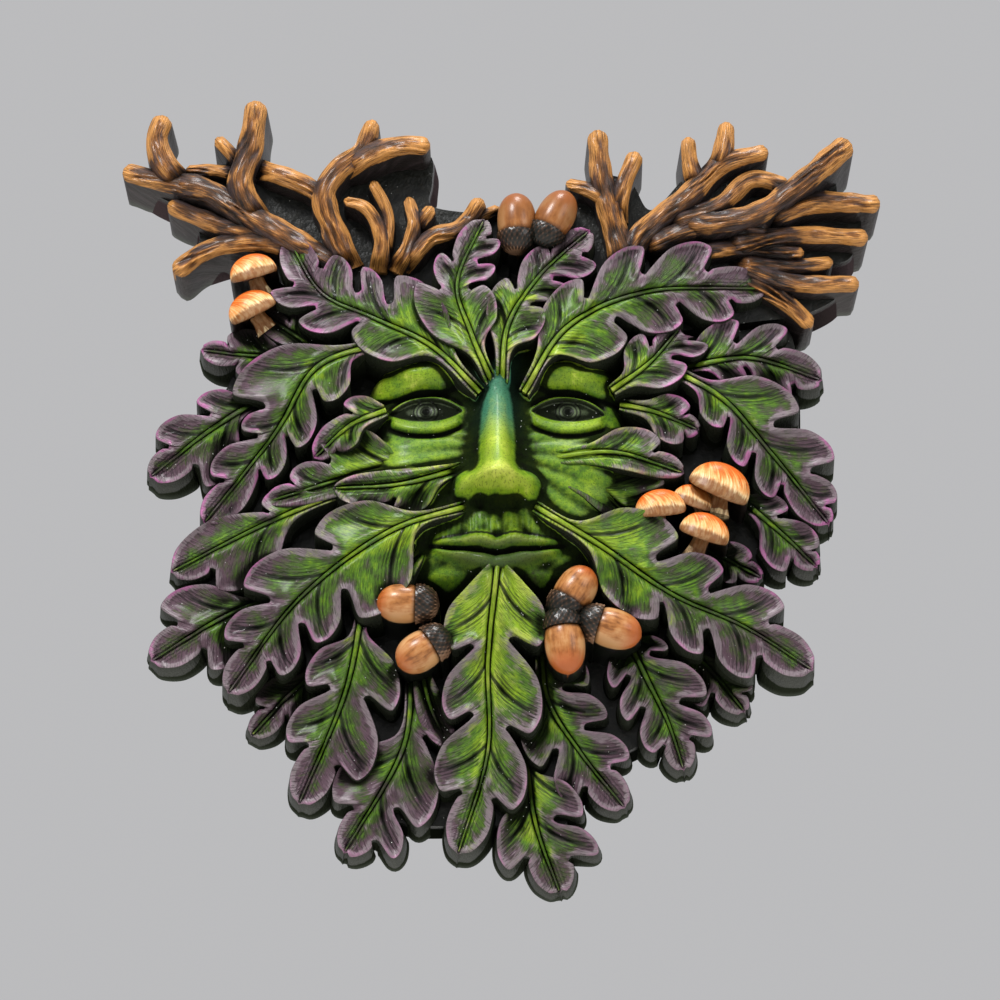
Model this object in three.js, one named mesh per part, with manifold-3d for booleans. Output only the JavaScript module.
// Green man wall plaque: a leafy face with antlers, acorns and mushrooms, cast in one piece.
//
// The flat back lies on the plane y = 0 and the relief faces -Y, with +Z up. The origin is on
// the back, behind the bridge of the nose, where the plaque meets the wall.
//
// The layout is drawn on a square sheet of 1000 units that an eye below the plaque looks at.
// Every point of it has a place on the sheet and a height off the wall, and place() finds where
// the line of sight through that place meets that height.

import * as THREE from 'three';
import { mergeVertices } from 'three/addons/utils/BufferGeometryUtils.js';
import Module from 'manifold-3d';

// Driving sizes in millimetres

const WIDTH = 251; // across the plaque, from the left antler stub to the right antler tip
const DEPTH = 56; // from the wall to the tip of the nose
const DRAFT = 1.6; // how far a leaf's or a plate's wall leans out on its way to the back
const BOUGH_DRAFT = 0.6; // the same for a bough, an acorn and a stalk
const LOBE_WIDTH = 9.2; // across the rounded end of a leaf's lobe on a leaf 80 mm long
const VEIN_DEPTH = 1.5; // from a lobe's rim to the vein along its middle
const NUT_LENGTH = 14.5; // of an acorn's nut outside its cup
const NUT_WIDTH = 12; // across an acorn's nut
const CUP_WIDTH = 12.6; // across an acorn's cup
const EYE_WIDTH = 23; // from corner to corner of one eye, a fifth of the head's width

// The sheet of the layout

const SHEET_WIDTH = 762; // sheet units that WIDTH takes up
const SHEET_MIDDLE = 500; // the sheet's centre, both ways
const SHEET_DEPTH = 56; // height units that DEPTH takes up
const EYE_DISTANCE = 3640; // sheet units from the eye to the sheet's centre
const EYE_DROP = THREE.MathUtils.degToRad(18); // how far the eye is below level
const MERGE = 1e-4; // millimetres within which two corners are one

const UNIT = WIDTH / SHEET_WIDTH;
const RISE = DEPTH / SHEET_DEPTH;
const DISTANCE = EYE_DISTANCE * UNIT;

// Where the line of sight through (across, down) meets the plane at a height off the wall

function place(across, down, height) {
  const a = ((across - SHEET_MIDDLE) * UNIT) / DISTANCE;
  const b = ((SHEET_MIDDLE - down) * UNIT) / DISTANCE;
  const sin = Math.sin(EYE_DROP);
  const cos = Math.cos(EYE_DROP);
  const t = (DISTANCE * cos - height) / (cos - b * sin);
  return new THREE.Vector3(t * a, -height, -DISTANCE * sin + t * (sin + b * cos));
}

// Leaves: the midrib's points from stalk to tip, the lobes' tips, and the heights at both ends

const LEAVES = {
  leftBrow: {
    spine: [[480, 392], [432, 346], [372, 317], [322, 293], [288, 238]],
    lobes: [[397, 276], [363, 267], [335, 255], [271, 292], [299, 321], [352, 333]],
    high: [41, 24],
  },
  leftCrown: {
    spine: [[492, 382], [470, 330], [457, 285], [484, 219]],
    lobes: [[441, 253], [417, 283], [500, 241], [495, 266], [486, 286]],
    high: [42, 30],
  },
  rightCrown: {
    spine: [[502, 382], [508, 325], [540, 275], [590, 230]],
    lobes: [[546, 246], [506, 278], [596, 265], [567, 287], [544, 310]],
    high: [42, 26],
  },
  rightBrow: {
    spine: [[524, 392], [566, 328], [640, 293], [766, 288]],
    lobes: [[581, 279], [643, 247], [711, 247], [733, 315], [682, 322], [627, 338]],
    high: [41, 22],
  },
  rightTemple: {
    spine: [[612, 390], [650, 362], [680, 328]],
    lobes: [[642, 334], [687, 366], [708, 346]],
    high: [35, 27],
  },
  rightUpper: {
    spine: [[688, 366], [750, 358], [822, 380]],
    lobes: [[787, 329], [738, 321], [790, 402], [746, 379]],
    high: [28, 15],
  },
  rightOuter: {
    spine: [[678, 372], [722, 398], [772, 454], [829, 524]],
    lobes: [[799, 410], [834, 458], [721, 427], [743, 466], [772, 497], [836, 500]],
    high: [32, 18],
  },
  rightEar: {
    spine: [[742, 500], [780, 532], [817, 567]],
    lobes: [[788, 508], [819, 545], [784, 571]],
    high: [23, 14],
  },
  rightMoustache: {
    spine: [[535, 506], [600, 545], [672, 594], [745, 627], [813, 670]],
    lobes: [[678, 536], [723, 569], [784, 606], [656, 618], [701, 653], [751, 677]],
    high: [42, 20],
  },
  rightJaw: {
    spine: [[690, 540], [728, 560], [762, 578]],
    lobes: [[752, 556], [735, 582]],
    high: [21, 15],
  },
  rightBeard: {
    spine: [[680, 640], [718, 678], [745, 712]],
    lobes: [[752, 688], [702, 706], [672, 660]],
    high: [20, 12],
  },
  rightChin: {
    spine: [[628, 640], [650, 685], [668, 722], [684, 770]],
    lobes: [[613, 687], [627, 720], [652, 752], [668, 648], [706, 694], [711, 735]],
    high: [27, 14],
  },
  rightTongue: {
    spine: [[541, 640], [548, 700], [580, 752], [625, 808]],
    lobes: [[540, 766], [571, 804], [588, 684], [607, 716], [629, 757]],
    high: [27, 13],
  },
  tongue: {
    spine: [[498, 560], [488, 660], [488, 750], [458, 854]],
    lobes: [[451, 648], [449, 718], [440, 789], [539, 645], [531, 732], [513, 809]],
    high: [40, 17],
  },
  underTongue: {
    spine: [[526, 760], [536, 825], [560, 893]],
    lobes: [[508, 869], [582, 815], [598, 853]],
    high: [21, 9],
  },
  leftTongue: {
    spine: [[412, 672], [404, 745], [344, 853]],
    lobes: [[334, 800], [446, 745], [418, 827], [394, 858]],
    high: [24, 14],
  },
  leftChin: {
    spine: [[362, 612], [346, 690], [299, 804]],
    lobes: [[307, 684], [288, 740], [392, 710], [358, 780]],
    high: [28, 16],
  },
  leftMoustache: {
    spine: [[470, 505], [392, 530], [300, 598], [228, 693]],
    lobes: [[315, 532], [244, 585], [225, 637], [361, 617], [317, 642], [282, 675]],
    high: [42, 21],
  },
  leftJaw: {
    spine: [[350, 488], [265, 524], [171, 572]],
    lobes: [[219, 589], [262, 502]],
    high: [29, 15],
  },
  leftBeard: {
    spine: [[285, 592], [222, 618], [151, 661]],
    lobes: [[161, 606], [212, 669]],
    high: [21, 12],
  },
  leftUnder: {
    spine: [[330, 660], [288, 696], [251, 736]],
    lobes: [[256, 702], [296, 728]],
    high: [19, 11],
  },
  leftOuter: {
    spine: [[385, 342], [318, 366], [276, 432], [204, 523]],
    lobes: [[233, 393], [242, 428], [211, 473], [327, 401], [298, 447], [268, 479]],
    high: [33, 19],
  },
  leftUpper: {
    spine: [[322, 352], [262, 356], [201, 350]],
    lobes: [[228, 336], [236, 371]],
    high: [25, 15],
  },
  leftTemple: {
    spine: [[320, 352], [290, 332], [254, 308]],
    lobes: [[294, 312]],
    high: [26, 18],
  },
  leftEar: {
    spine: [[262, 398], [213, 428], [150, 477]],
    lobes: [[197, 401], [156, 436], [207, 486]],
    high: [24, 14],
  },
  leftCheek: {
    spine: [[462, 468], [400, 484], [333, 488]],
    lobes: [[394, 514]],
    high: [38, 31],
  },
  leftCheekBack: {
    spine: [[440, 458], [360, 474], [266, 502]],
    lobes: [[318, 438], [290, 476]],
    high: [34, 24],
  },
  rightCheek: {
    spine: [[548, 458], [615, 452], [684, 473]],
    lobes: [[660, 440]],
    high: [36, 29],
  },
  rightCheekBack: {
    spine: [[620, 404], [656, 412], [699, 430]],
    lobes: [[690, 406], [682, 442]],
    high: [31, 26],
  },
  rightCheekLow: {
    spine: [[556, 474], [600, 492], [643, 530]],
    lobes: [[664, 482]],
    high: [35, 25],
  },
  leftEyeTail: {
    spine: [[386, 410], [352, 424], [314, 458]],
    lobes: [[344, 403], [338, 450]],
    high: [32, 26],
  },
  leftMouth: {
    spine: [[424, 545], [399, 572], [384, 606]],
    lobes: [],
    high: [35, 27],
  },
  underChin: {
    spine: [[420, 665], [430, 705], [449, 747]],
    lobes: [],
    high: [25, 20],
  },
};

// Antler boughs: the middle line's points, the half widths and the heights at both ends

const BOUGHS = {
  leftStub: { path: [[208, 190], [165, 182], [123, 171]], wide: [10, 9], high: [24, 22] },
  leftOuterTine: {
    path: [[182, 184], [163, 162], [157, 138], [165, 116]],
    wide: [13, 10],
    high: [25, 25],
  },
  leftMain: {
    path: [[165, 182], [205, 190], [240, 212], [290, 240], [335, 266]],
    wide: [11, 15],
    high: [24, 25],
  },
  leftTallTine: {
    path: [[258, 222], [240, 185], [250, 148], [257, 101]],
    wide: [15, 11],
    high: [26, 26],
  },
  leftThin: { path: [[246, 176], [215, 170], [186, 170]], wide: [7, 5], high: [22, 20] },
  leftSpur: { path: [[244, 168], [230, 152], [216, 138]], wide: [7, 6], high: [23, 22] },
  leftLink: { path: [[256, 168], [292, 179], [318, 194], [330, 226]], wide: [10, 9], high: [25, 24] },
  leftLow: { path: [[290, 240], [235, 229], [196, 216], [168, 204]], wide: [11, 8], high: [24, 21] },
  leftLowest: { path: [[300, 246], [245, 241], [205, 251], [174, 273]], wide: [11, 9], high: [24, 22] },
  stem: {
    path: [[350, 270], [333, 228], [324, 194], [338, 170], [362, 150], [374, 120]],
    wide: [15, 8],
    high: [25, 28],
  },
  stemEnd: { path: [[345, 170], [376, 152], [405, 145], [430, 146]], wide: [10, 10], high: [29, 29] },
  hook: { path: [[378, 272], [381, 236], [366, 208], [344, 200]], wide: [9, 5], high: [25, 27] },
  hookBack: { path: [[384, 256], [388, 215], [372, 181]], wide: [7, 5], high: [24, 25] },
  fork: { path: [[394, 272], [409, 244], [414, 222], [408, 197]], wide: [9, 5], high: [25, 26] },
  forkEnd: { path: [[412, 232], [433, 207]], wide: [7, 6], high: [25, 25] },
  crown: { path: [[402, 268], [430, 238], [462, 226], [482, 199]], wide: [9, 8], high: [25, 25] },
  crownEnd: { path: [[462, 224], [500, 208]], wide: [7, 5], high: [23, 21] },
  rightInner: { path: [[626, 268], [613, 222], [602, 180], [597, 130]], wide: [14, 10], high: [25, 26] },
  rightInnerFork: { path: [[618, 222], [622, 190], [637, 152]], wide: [10, 8], high: [25, 25] },
  rightLow: { path: [[616, 208], [592, 191], [566, 183]], wide: [9, 6], high: [26, 24] },
  rightMain: {
    path: [[612, 278], [645, 232], [690, 194], [722, 164], [768, 151]],
    wide: [14, 8],
    high: [25, 27],
  },
  rightSpur: { path: [[698, 190], [690, 162], [688, 137]], wide: [10, 7], high: [27, 26] },
  rightSpurEnd: { path: [[712, 174], [723, 150], [727, 122]], wide: [11, 9], high: [27, 27] },
  rightKnot: { path: [[664, 228], [722, 203], [752, 179], [788, 186]], wide: [11, 8], high: [26, 25] },
  rightBig: { path: [[676, 226], [750, 216], [795, 188], [850, 142]], wide: [11, 12], high: [27, 31] },
  rightMiddle: { path: [[640, 250], [700, 226], [768, 228]], wide: [11, 8], high: [26, 25] },
  rightLong: { path: [[762, 220], [812, 203], [880, 204]], wide: [10, 10], high: [26, 26] },
  rightSecond: { path: [[720, 246], [800, 235], [868, 238]], wide: [10, 8], high: [25, 24] },
  rightThin: { path: [[650, 262], [730, 248], [804, 253]], wide: [9, 6], high: [24, 23] },
  rightThird: { path: [[730, 262], [790, 266], [833, 262]], wide: [8, 6], high: [23, 22] },
  rightFourth: { path: [[730, 262], [790, 282], [859, 284]], wide: [9, 8], high: [23, 23] },
  rightFifth: { path: [[730, 272], [782, 299], [812, 326]], wide: [9, 8], high: [22, 22] },
};

// Low plates that fill between the boughs and behind the leaves: outline and height

const PLATES = {
  leftAntler: {
    outline: [[136, 182], [186, 172], [240, 164], [262, 174], [318, 194], [352, 168], [430, 156],
      [432, 184], [430, 204], [476, 214], [500, 220], [500, 296], [300, 296], [250, 256],
      [190, 266], [200, 236], [182, 210], [154, 194]],
    high: 15,
  },
  rightAntler: {
    outline: [[576, 198], [600, 176], [630, 182], [650, 210], [694, 172], [740, 172], [782, 190],
      [832, 176], [840, 202], [860, 214], [850, 258], [822, 268], [840, 292], [806, 314],
      [770, 320], [560, 320]],
    high: 16,
  },
  ground: {
    outline: [[288, 288], [400, 262], [470, 240], [560, 240], [640, 270], [744, 308], [788, 330],
      [796, 366], [796, 470], [784, 540], [752, 590], [756, 650], [726, 684], [676, 726], [596, 772],
      [556, 832], [506, 826], [460, 826], [398, 822], [326, 776], [290, 716], [236, 676], [214, 630],
      [200, 578], [226, 492], [210, 462], [222, 400], [246, 350], [262, 296]],
    high: 11,
  },
};

// Acorns: the middle of the cup's mouth and the nut's tip on the sheet, and the height

const ACORNS = {
  crownLeft: { mouth: [517, 236], tip: [516, 197], high: 28 },
  crownRight: { mouth: [547, 232], tip: [567, 195], high: 28 },
  beardLeft: { mouth: [418, 604], tip: [380, 603], high: 32 },
  beardLeftLow: { mouth: [432, 644], tip: [401, 664], high: 32 },
  beardRightTop: { mouth: [567, 603], tip: [588, 571], high: 34 },
  beardRightLow: { mouth: [563, 626], tip: [568, 671], high: 35 },
  beardRightEnd: { mouth: [597, 624], tip: [638, 636], high: 34 },
};

// Mushrooms: the cap's middle, its half width, the way that its top points, and its height

const MUSHROOMS = {
  leftTop: { middle: [252, 268], half: 23, lean: -0.3, foot: [262, 296], high: 25 },
  leftLow: { middle: [250, 306], half: 24, lean: -0.5, foot: [268, 330], high: 25 },
  rightNear: { middle: [660, 504], half: 24, lean: -0.1, foot: [654, 534], high: 32 },
  rightBack: { middle: [694, 497], half: 19, lean: 0.4, foot: [704, 512], high: 29 },
  rightTop: { middle: [722, 482], half: 30, lean: 0.45, foot: [714, 512], high: 31 },
  rightFront: { middle: [706, 528], half: 24, lean: 0.35, foot: [692, 560], high: 33 },
};

// The face: its height off the wall over its own plane. All numbers are in eye widths, from the
// middle between the eyes. The head is five eyes wide and the eyes lie one eye apart.

const FACE = {
  middle: [497, 411],
  high: 31,
  columns: [0, 0.17, 0.35, 0.61, 0.91, 1.26, 1.6, 1.9],
  rows: [0.96, 0.61, 0.39, 0.17, -0.04, -0.26, -0.7, -1.04, -1.22, -1.39, -1.57, -1.83, -2, -2.13,
    -2.26, -2.61],
};

const bump = (value, middle, reach) => Math.exp(-(((value - middle) / reach) ** 2));
const ramp = (value, from, to) => THREE.MathUtils.smoothstep(value, from, to);

function skull(x, z) {
  const round = Math.max(0, 1 - (x / 2.13) ** 2 - ((z + 0.87) / 2.7) ** 2);
  return 0.39 + 1.08 * Math.sqrt(round);
}

function nose(x, z) {
  const along = THREE.MathUtils.clamp((0.26 - z) / 1.43, 0, 1);
  const rise = 0.22 + 0.72 * along ** 1.2;
  const half = 0.19 + 0.11 * along;
  const ends = ramp(z, -1.5, -1.22) * (1 - ramp(z, 0.35, 0.96));
  const ridge = rise * Math.exp(-(Math.abs(x / half) ** 2.6)) * ends;
  const wings = 0.33 * bump(Math.abs(x), 0.41, 0.19) * bump(z, -1.2, 0.22);
  return ridge + wings;
}

function eye(x, z) {
  const aside = Math.abs(x) - 1;
  const socket = -0.22 * bump(aside, -0.13, 0.61) * bump(z, 0.04, 0.39);
  const brow = 0.13 * bump(aside, 0.04, 0.83) * bump(z, 0.61, 0.26);
  const lid = 0.15 * bump(aside, 0, 0.475) * bump(z, 0, 0.28);
  return socket + brow + lid;
}

function mouth(x, z) {
  const reach = Math.exp(-(Math.abs(x / 0.87) ** 3));
  const bow = 0.02 * x ** 2;
  const muzzle = 0.2 * bump(x, 0, 1.13) * bump(z, -1.87, 0.48);
  const upper = 0.11 * bump(z, -1.99 + bow, 0.1);
  const lower = 0.15 * bump(z, -2.29 + bow, 0.13);
  const line = -0.1 * bump(z, -2.12 + bow, 0.06);
  return muzzle + (upper + lower + line) * reach;
}

function faceHeight(x, z) {
  const cheek = 0.15 * bump(Math.abs(x), 1.43, 0.57) * bump(z, -0.87, 0.57);
  const chin = 0.17 * bump(x, 0, 0.7) * bump(z, -2.87, 0.39);
  return skull(x, z) + nose(x, z) + eye(x, z) + mouth(x, z) + cheek + chin;
}

const wasm = await Module();
wasm.setup();

// A closed solid from corners and the triangles between them

function solid(corners, faces) {
  const flat = faces.flatMap((face) => face.flatMap((i) => corners[i].toArray()));
  const geometry = new THREE.BufferGeometry();
  geometry.setAttribute('position', new THREE.Float32BufferAttribute(flat, 3));
  const merged = mergeVertices(geometry, MERGE);
  return new wasm.Manifold(new wasm.Mesh({
    numProp: 3,
    vertProperties: merged.attributes.position.array,
    triVerts: new Uint32Array(merged.index.array),
  }));
}

// Triangles that fill an outline seen from the front, wound against the clock

function filled(outline) {
  return THREE.ShapeUtils.triangulateShape(outline, []).map((face) => {
    const [a, b, c] = face.map((i) => outline[i]);
    const area = (b.x - a.x) * (c.y - a.y) - (c.x - a.x) * (b.y - a.y);
    return area > 0 ? face : [face[0], face[2], face[1]];
  });
}

const seenFromFront = (ring) => ring.map((p) => new THREE.Vector2(p.x, p.z));

// A block from a ring of corners on its top down to the back. The foot of the wall leans out by
// lean, one value a corner. The top faces number the ring first and then the inner corners.

function block(ring, inner, topFaces, lean) {
  const n = ring.length;
  const flip = THREE.ShapeUtils.area(seenFromFront(ring)) < 0;
  const feet = ring.map((p, i) => {
    const before = ring[(i + n - 1) % n];
    const after = ring[(i + 1) % n];
    const out = new THREE.Vector3(after.z - before.z, 0, before.x - after.x).normalize();
    return new THREE.Vector3(p.x, 0, p.z).addScaledVector(out, flip ? -lean[i] : lean[i]);
  });
  const faces = topFaces.map((face) => face.map((i) => (i < n ? i : i + n)));
  ring.forEach((_, i) => {
    const j = (i + 1) % n;
    faces.push([i, n + i, n + j], [i, n + j, j]);
  });
  const turned = flip ? faces.map(([a, b, c]) => [a, c, b]) : faces;
  filled(seenFromFront(feet)).forEach(([a, b, c]) => turned.push([n + a, n + c, n + b]));
  return solid([...ring, ...feet, ...inner], turned);
}

// A strip along a line of stations. Each station lists its points from the right edge over the
// top to the left edge.

function strip(stations) {
  const count = stations.length;
  const inside = stations[0].length - 2;
  const ring = [...stations.map((s) => s[0]), ...stations.map((s) => s.at(-1)).reverse()];
  const inner = stations.flatMap((s) => s.slice(1, -1));
  const number = (i, k) => {
    if (k === 0) return i;
    return k > inside ? 2 * count - 1 - i : 2 * count + i * inside + k - 1;
  };
  const faces = [];
  for (let i = 0; i < count - 1; i += 1) {
    for (let k = 0; k <= inside; k += 1) {
      faces.push([number(i, k), number(i + 1, k), number(i + 1, k + 1)]);
      faces.push([number(i, k), number(i + 1, k + 1), number(i, k + 1)]);
    }
  }
  const last = count - 1;
  for (let k = 1; k <= inside; k += 1) {
    faces.push([number(0, 0), number(0, k), number(0, k + 1)]);
    faces.push([number(last, 0), number(last, k + 1), number(last, k)]);
  }
  return block(ring, inner, faces, ring.map(() => BOUGH_DRAFT));
}

// A smooth line through points of the sheet, how far along it a point is nearest, and the point
// beside it at a distance across

const NEAREST_STEPS = 40;

function lineThrough(points) {
  const corners = points.map(([x, y]) => new THREE.Vector3(x, y, 0));
  return new THREE.CatmullRomCurve3(corners, false, 'centripetal');
}

function nearest(line, point) {
  let best = 0;
  let least = Infinity;
  for (let i = 0; i <= NEAREST_STEPS; i += 1) {
    const distance = line.getPointAt(i / NEAREST_STEPS).distanceTo(point);
    if (distance < least) {
      least = distance;
      best = i / NEAREST_STEPS;
    }
  }
  return { along: best, away: least };
}

function offset(line, u, across) {
  const t = line.getTangentAt(u);
  return line.getPointAt(u).add(new THREE.Vector3(t.y * across, -t.x * across, 0));
}

// A leaf is one ring of corners round its lobes, with its midrib and veins sunk inside. A lobe
// has four corners, and the notch between two lobes lies on the way from the midrib to the
// middle of the gap between them. Each point of the ring also keeps the place u along the midrib
// that it is ruled to.

const LEAF_LENGTH = 80; // the length in millimetres that LOBE_WIDTH is given for
const LOBE_CORNERS = [[-1.05, -1], [-0.18, -0.64], [-0.18, 0.64], [-1.05, 1]]; // of its half width
const SMALL_LOBE_CORNERS = [[-0.8, -1], [-0.05, -0.1], [-0.8, 1]]; // the same on a small leaf
const SMALL_LEAF = 60; // the longest leaf in millimetres that takes those, and has no side veins
const LOBE_DEPTH = 0.4; // the most that a lobe's round end takes of the way to its foot
const VEIN_LEAN = 0.75; // how far a vein's foot lies behind its tip, of the tip's distance
const END_FOOT = 0.76; // where the end lobe starts along the midrib
const FIRST_FOOT = 0.04; // where the first lobe may start along the midrib
const STALK = 0.4; // half the stalk's width, of a lobe's half width
const WAIST = 0.6; // how far the blade widens by halfway to the first lobe
const NOTCH = 0.6; // how deep the notches leave the blade, of the way out to the gap
const NOTCH_FILL = 0.4; // how far the foot of a notch's wall fills it, of its depth
const GAP_SHARE = 0.4; // the most that a lobe's half width takes of the way to the next tip
const GAP_LEAN = 0.3; // the most that a lobe's wall leans out, of the gap beside it
const ARCH = 1.6; // how far a leaf bows up between its ends
const DROOP = 1.2; // how far a lobe's tip hangs below its foot
const TIP_SHARE = 0.9; // how far a lobe takes the height of the place that its tip is beside
const VEIN_SHARE = 0.6; // the same for the vein's end
const RIB_STEPS = 5; // parts of the midrib

function lobeCorners(foot, tip, half, forward, shape) {
  const axis = tip.clone().sub(foot).normalize();
  const side = new THREE.Vector3(-axis.y, axis.x, 0);
  if (side.dot(forward) < 0) side.negate();
  const deepest = LOBE_DEPTH * tip.distanceTo(foot);
  return shape.map(([along, across]) => tip.clone()
    .addScaledVector(axis, Math.max(along * half, -deepest))
    .addScaledVector(side, across * half));
}

function lobesOf(line, tips, half) {
  const length = line.getLength();
  const shape = length * UNIT > SMALL_LEAF ? LOBE_CORNERS : SMALL_LOBE_CORNERS;
  const made = tips.map(([x, y]) => {
    const tip = new THREE.Vector3(x, y, 0);
    const { along, away } = nearest(line, tip);
    const behind = along - (VEIN_LEAN * away) / length;
    const foot = THREE.MathUtils.clamp(behind, FIRST_FOOT, END_FOOT - FIRST_FOOT);
    const out = tip.clone().sub(line.getPointAt(along));
    const t = line.getTangentAt(along);
    return { tip, foot, along, sign: Math.sign(t.y * out.x - t.x * out.y) };
  });
  made.push({ tip: line.getPointAt(1), foot: END_FOOT, along: 1, sign: 0 });
  made.forEach((lobe) => {
    const sameSide = (other) => other.sign === lobe.sign || !other.sign || !lobe.sign;
    const beside = made.filter((other) => other !== lobe && sameSide(other));
    const room = Math.min(...beside.map((other) => other.tip.distanceTo(lobe.tip)));
    lobe.half = Math.min(half, room * GAP_SHARE);
    const foot = line.getPointAt(lobe.foot);
    lobe.corners = lobeCorners(foot, lobe.tip, lobe.half, line.getTangentAt(lobe.foot), shape);
    lobe.vein = lobe.tip.clone().lerp(foot, Math.min(0.5, lobe.half / lobe.tip.distanceTo(foot)));
  });
  return made;
}

// Whether the line from a to b crosses the line from c to d

function crosses(a, b, c, d) {
  const turn = (p, q, r) => (q.x - p.x) * (r.y - p.y) - (q.y - p.y) * (r.x - p.x);
  return turn(a, b, c) * turn(a, b, d) < 0 && turn(c, d, a) * turn(c, d, b) < 0;
}

function leafSide(line, lobes, half, sign) {
  const stalk = offset(line, 0, sign * half * STALK);
  const halfway = lobes[0].foot / 2;
  const straight = stalk.clone().lerp(lobes[0].corners[0], 0.5);
  const ring = [
    { p: stalk, u: 0 },
    { p: straight.lerp(line.getPointAt(halfway), 1 - WAIST), u: halfway },
  ];
  lobes.forEach((lobe, i) => {
    const count = lobe.corners.length;
    const corners = lobe.corners.slice(0, lobe.sign ? count : Math.ceil(count / 2));
    const gaps = corners.map(() => Infinity);
    if (i > 0) {
      const before = lobes[i - 1];
      const u = (before.foot + lobe.foot) / 2;
      const [side, rear] = before.corners.slice(-2);
      const mouth = rear.clone().lerp(corners[0], 0.5);
      const notch = line.getPointAt(u).lerp(mouth, NOTCH);
      gaps[0] = rear.distanceTo(corners[0]);
      if (crosses(side, rear, notch, corners[0])) ring.pop();
      if (crosses(rear, notch, corners[0], corners[1])) [corners, gaps].forEach((list) => list.shift());
      ring.push({ p: notch, u, fill: notch.distanceTo(mouth) * NOTCH_FILL });
    }
    if (lobe.sign) gaps[gaps.length - 1] = corners.at(-1).distanceTo(lobes[i + 1].corners[0]);
    corners.forEach((p, k) => ring.push({ p, u: lobe.foot, lobe, gap: gaps[k] }));
  });
  return ring;
}

function leaf({ spine, lobes, high }) {
  const line = lineThrough(spine);
  const half = ((LOBE_WIDTH / 2) * Math.sqrt((line.getLength() * UNIT) / LEAF_LENGTH)) / UNIT;
  const made = lobesOf(line, lobes, half);
  const end = made.pop();
  const t = line.getTangentAt(END_FOOT);
  const sides = [1, -1].map((sign) => {
    const across = end.corners[0].clone().sub(end.tip);
    const turned = Math.sign(t.y * across.x - t.x * across.y) !== sign;
    const own = { ...end, sign: 0, corners: turned ? [...end.corners].reverse() : end.corners };
    const here = made.filter((lobe) => lobe.sign === sign).sort((a, b) => a.foot - b.foot);
    return leafSide(line, [...here, own], half, sign);
  });
  const rise = (u) => (THREE.MathUtils.lerp(high[0], high[1], u) + ARCH * 4 * u * (1 - u)) * RISE;
  return leafSolid(line, [...sides[0], ...sides[1].reverse()], rise);
}

// The ring's heights and the faces between it, the midrib and the veins

function leafSolid(line, points, rise) {
  const lobeHeight = (lobe, share) =>
    THREE.MathUtils.lerp(rise(lobe.foot), rise(lobe.along), share) - DROOP;
  const ring = points.map(({ p, u, lobe }) => {
    const high = lobe ? lobeHeight(lobe, TIP_SHARE) : rise(u);
    return place(p.x, p.y, high);
  });
  const n = ring.length;
  const step = (u) => Math.round(u * RIB_STEPS);
  const last = step(END_FOOT);
  const inner = [];
  for (let i = 0; i <= last; i += 1) {
    const p = line.getPointAt(i / RIB_STEPS);
    inner.push(place(p.x, p.y, rise(i / RIB_STEPS) - VEIN_DEPTH));
  }
  const veins = new Map();
  const large = line.getLength() * UNIT > SMALL_LEAF;
  points.filter(({ lobe }) => large && lobe && lobe.sign).forEach(({ lobe }) => {
    if (veins.has(lobe.tip)) return;
    veins.set(lobe.tip, n + inner.length);
    inner.push(place(lobe.vein.x, lobe.vein.y, lobeHeight(lobe, VEIN_SHARE) - VEIN_DEPTH));
  });
  const faces = [];
  points.forEach((point, i) => {
    const j = (i + 1) % n;
    const next = points[j];
    const vein = point.lobe && veins.get(point.lobe.tip);
    const nextVein = next.lobe && veins.get(next.lobe.tip);
    if (vein && vein === nextVein) {
      faces.push([i, j, vein]);
      return;
    }
    let from = n + step(point.u);
    const to = n + step(next.u);
    if (vein) faces.push([i, from, vein]);
    if (nextVein) faces.push([j, nextVein, to]);
    const way = Math.sign(to - from);
    while (from !== to) {
      faces.push([i, from + way, from]);
      from += way;
    }
    faces.push([i, j, to]);
  });
  const lean = ({ gap, fill }) =>
    fill ? fill * UNIT : Math.min(DRAFT, (gap ?? Infinity) * UNIT * GAP_LEAN);
  return block(ring, inner, faces, points.map(lean));
}

// A bough has a raised crest between its shoulders

const CREST = 0.55; // how far the crest stands over the shoulders, of the half width
const BOUGH_END = 0.65; // how far a bough narrows at its very end

function bough({ path, wide, high }) {
  const line = lineThrough(path);
  const stations = [];
  for (let i = 0; i < path.length; i += 1) {
    const u = i / (path.length - 1);
    const half = THREE.MathUtils.lerp(wide[0], wide[1], u) * (u === 1 ? BOUGH_END : 1);
    const top = THREE.MathUtils.lerp(high[0], high[1], u) * RISE;
    stations.push([-1, 0, 1].map((side) => {
      const p = offset(line, u, side * half);
      return place(p.x, p.y, top - (side ? half * UNIT * CREST : 0));
    }));
  }
  return strip(stations);
}

// A plate is flat on top

function plate({ outline, high }) {
  const ring = outline.map(([x, y]) => place(x, y, high * RISE));
  const seen = seenFromFront(ring);
  const top = filled(seen);
  const faces = THREE.ShapeUtils.area(seen) < 0 ? top.map(([a, b, c]) => [a, c, b]) : top;
  return block(ring, [], faces, ring.map(() => DRAFT));
}

// An acorn lies along the wall: half round on top from the back of its cup to the nut's tip

const CUP_DEPTH = 0.42; // of the nut's length
const CUP = [[-1, 0.5], [-0.5, 0.9], [0.1, 1]]; // of the cup's depth, and of its radius
const NUT = [[0.1, 0.86], [0.4, 1], [0.75, 0.76], [0.94, 0.36], [1, 0.1]]; // the same for the nut
const ROUND = [0, 60, 120, 180].map(THREE.MathUtils.degToRad);

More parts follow.
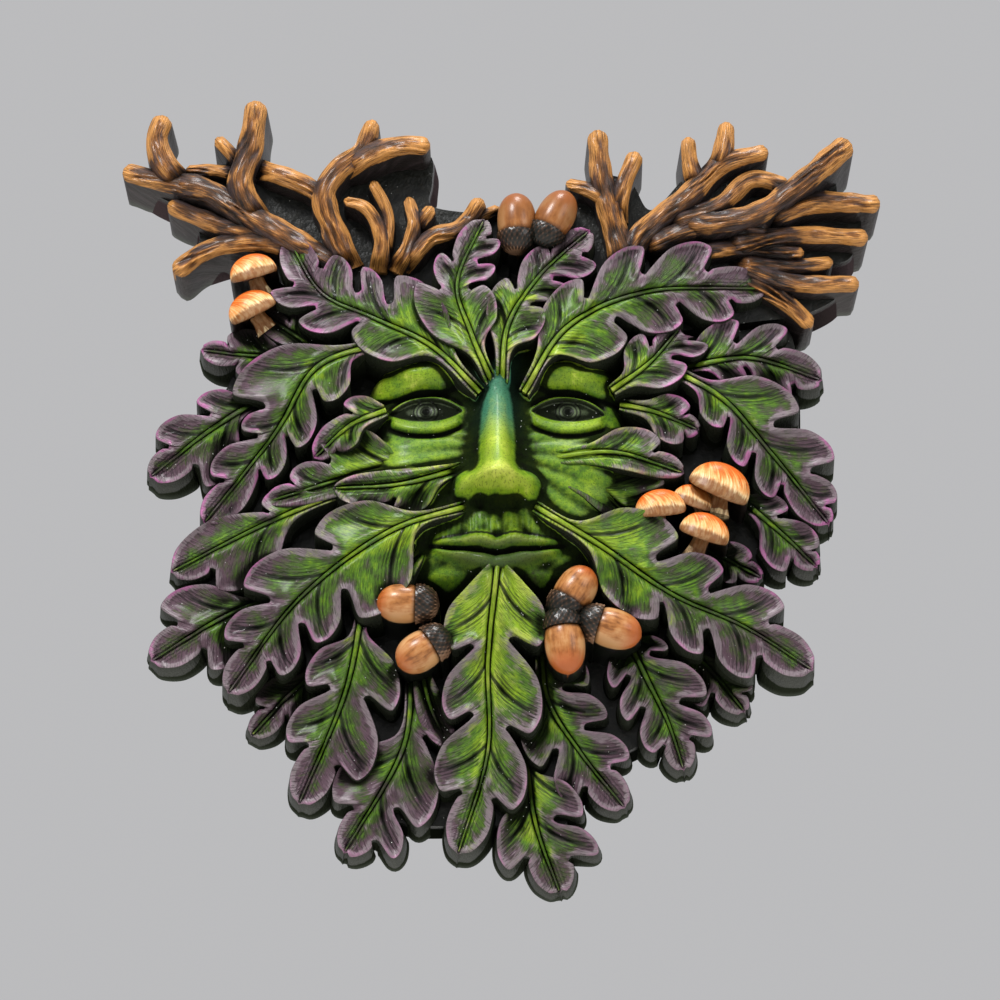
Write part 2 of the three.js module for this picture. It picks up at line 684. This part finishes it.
function acorn({ mouth: rim, tip, high }) {
  const base = place(rim[0], rim[1], high * RISE);
  const along = place(tip[0], tip[1], high * RISE).sub(base).normalize();
  const across = new THREE.Vector3(along.z, 0, -along.x);
  const station = (t, radius) => ROUND.map((angle) => base.clone()
    .addScaledVector(along, t)
    .addScaledVector(across, Math.cos(angle) * radius)
    .setY(base.y - Math.sin(angle) * radius));
  return strip([
    ...CUP.map(([t, r]) => station(t * CUP_DEPTH * NUT_LENGTH, (r * CUP_WIDTH) / 2)),
    ...NUT.map(([t, r]) => station(t * NUT_LENGTH, (r * NUT_WIDTH) / 2)),
  ]);
}

// A mushroom has a domed cap that tips to the front, on a stalk

const CAP_SIDES = 10;
const CAP_TALL = 0.66; // the cap's height seen from the front, of its width
const CAP_DOME = 0.55; // how far the cap's middle stands over its rim, of its radius
const CAP_TIP = 0.5; // how far the rim comes forward at its lower edge, of its radius
const CAP_SHOULDER = 0.6; // where the cap starts to flatten, of its radius
const STALK_WIDE = [0.38, 0.44]; // half the stalk's width at the cap and the foot, of the radius
const STALK_SINK = [1, 3]; // how far the stalk lies below the cap's middle, in height units

function cap({ middle, half, lean, high }) {
  const radius = half * UNIT;
  const centre = place(middle[0], middle[1], high * RISE);
  const at = (share, k) => {
    const angle = (k / CAP_SIDES) * 2 * Math.PI;
    const out = new THREE.Vector3(Math.cos(angle), 0, CAP_TALL * Math.sin(angle));
    out.applyAxisAngle(new THREE.Vector3(0, 1, 0), lean).multiplyScalar(share * radius);
    const rise = CAP_DOME * (1 - share ** 2) - CAP_TIP * share * Math.sin(angle);
    return centre.clone().add(out).setY(centre.y - rise * radius);
  };
  const sides = [...Array(CAP_SIDES).keys()];
  const faces = sides.flatMap((i) => {
    const j = (i + 1) % CAP_SIDES;
    const shoulder = CAP_SIDES + i;
    const nextShoulder = CAP_SIDES + j;
    return [[i, j, nextShoulder], [i, nextShoulder, shoulder], [shoulder, nextShoulder, 2 * CAP_SIDES]];
  });
  const inner = [...sides.map((k) => at(CAP_SHOULDER, k)), at(0, 0)];
  return block(sides.map((k) => at(1, k)), inner, faces, sides.map(() => DRAFT));
}

function mushroom(shape) {
  const { middle, half, foot, high } = shape;
  const stalk = {
    path: [middle, foot],
    wide: STALK_WIDE.map((share) => share * half),
    high: STALK_SINK.map((sink) => high - sink),
  };
  return [cap(shape), bough(stalk)];
}

// The face is a grid of heights, denser where the features are

function face() {
  const centre = place(FACE.middle[0], FACE.middle[1], FACE.high * RISE);
  const columns = [...FACE.columns.slice(1).map((x) => -x).reverse(), ...FACE.columns];
  const right = columns.length - 1;
  const bottom = FACE.rows.length - 1;
  const cells = FACE.rows.flatMap((_, r) => columns.map((__, c) => [r, c]));
  const onRim = ([r, c]) => r === 0 || c === 0 || r === bottom || c === right;
  const turn = ([r, c]) => Math.atan2(bottom / 2 - r, c - right / 2);
  const rim = cells.filter(onRim).sort((a, b) => turn(a) - turn(b));
  const order = [...rim, ...cells.filter((cell) => !onRim(cell))];
  const corners = order.map(([r, c]) => {
    const [x, z] = [columns[c], FACE.rows[r]];
    const offWall = faceHeight(x, z) * EYE_WIDTH * RISE;
    return new THREE.Vector3(centre.x + x * EYE_WIDTH, -offWall, centre.z + z * EYE_WIDTH);
  });
  const number = new Map(order.map(([r, c], i) => [r * columns.length + c, i]));
  const faces = cells.filter(([r, c]) => r < bottom && c < right).flatMap(([r, c]) => {
    const [a, b, d, e] = [[r, c], [r, c + 1], [r + 1, c], [r + 1, c + 1]]
      .map(([row, column]) => number.get(row * columns.length + column));
    return [[a, d, e], [a, e, b]];
  });
  const edge = rim.length;
  return block(corners.slice(0, edge), corners.slice(edge), faces, Array(edge).fill(DRAFT));
}

// All of it joined into one casting. Where walls cross at a sharp angle the joins leave crumbs,
// which are swept off.

const CRUMB = 1; // cubic millimetres

function joined(list) {
  if (list.length === 1) return list[0];
  const half = Math.floor(list.length / 2);
  return joined(list.slice(0, half)).add(joined(list.slice(half)));
}

const bodies = joined([
  ...Object.values(PLATES).map(plate),
  face(),
  ...Object.values(LEAVES).map(leaf),
  ...Object.values(BOUGHS).map(bough),
  ...Object.values(ACORNS).map(acorn),
  ...Object.values(MUSHROOMS).flatMap(mushroom),
]).decompose().filter((body) => Math.abs(body.volume()) > CRUMB);
const cast = joined(bodies).getMesh();

const surface = new THREE.BufferGeometry();
surface.setAttribute('position', new THREE.BufferAttribute(new Float32Array(cast.vertProperties), 3));
surface.setIndex(new THREE.BufferAttribute(new Uint32Array(cast.triVerts), 1));
surface.computeVertexNormals();

const paintedResin = new THREE.MeshStandardMaterial({ color: 0x5c7a26, roughness: 0.45, metalness: 0 });
const mask = new THREE.Mesh(surface, paintedResin);
mask.name = 'green_man_mask';

const plaque = new THREE.Group();
plaque.add(mask);

export default plaque;
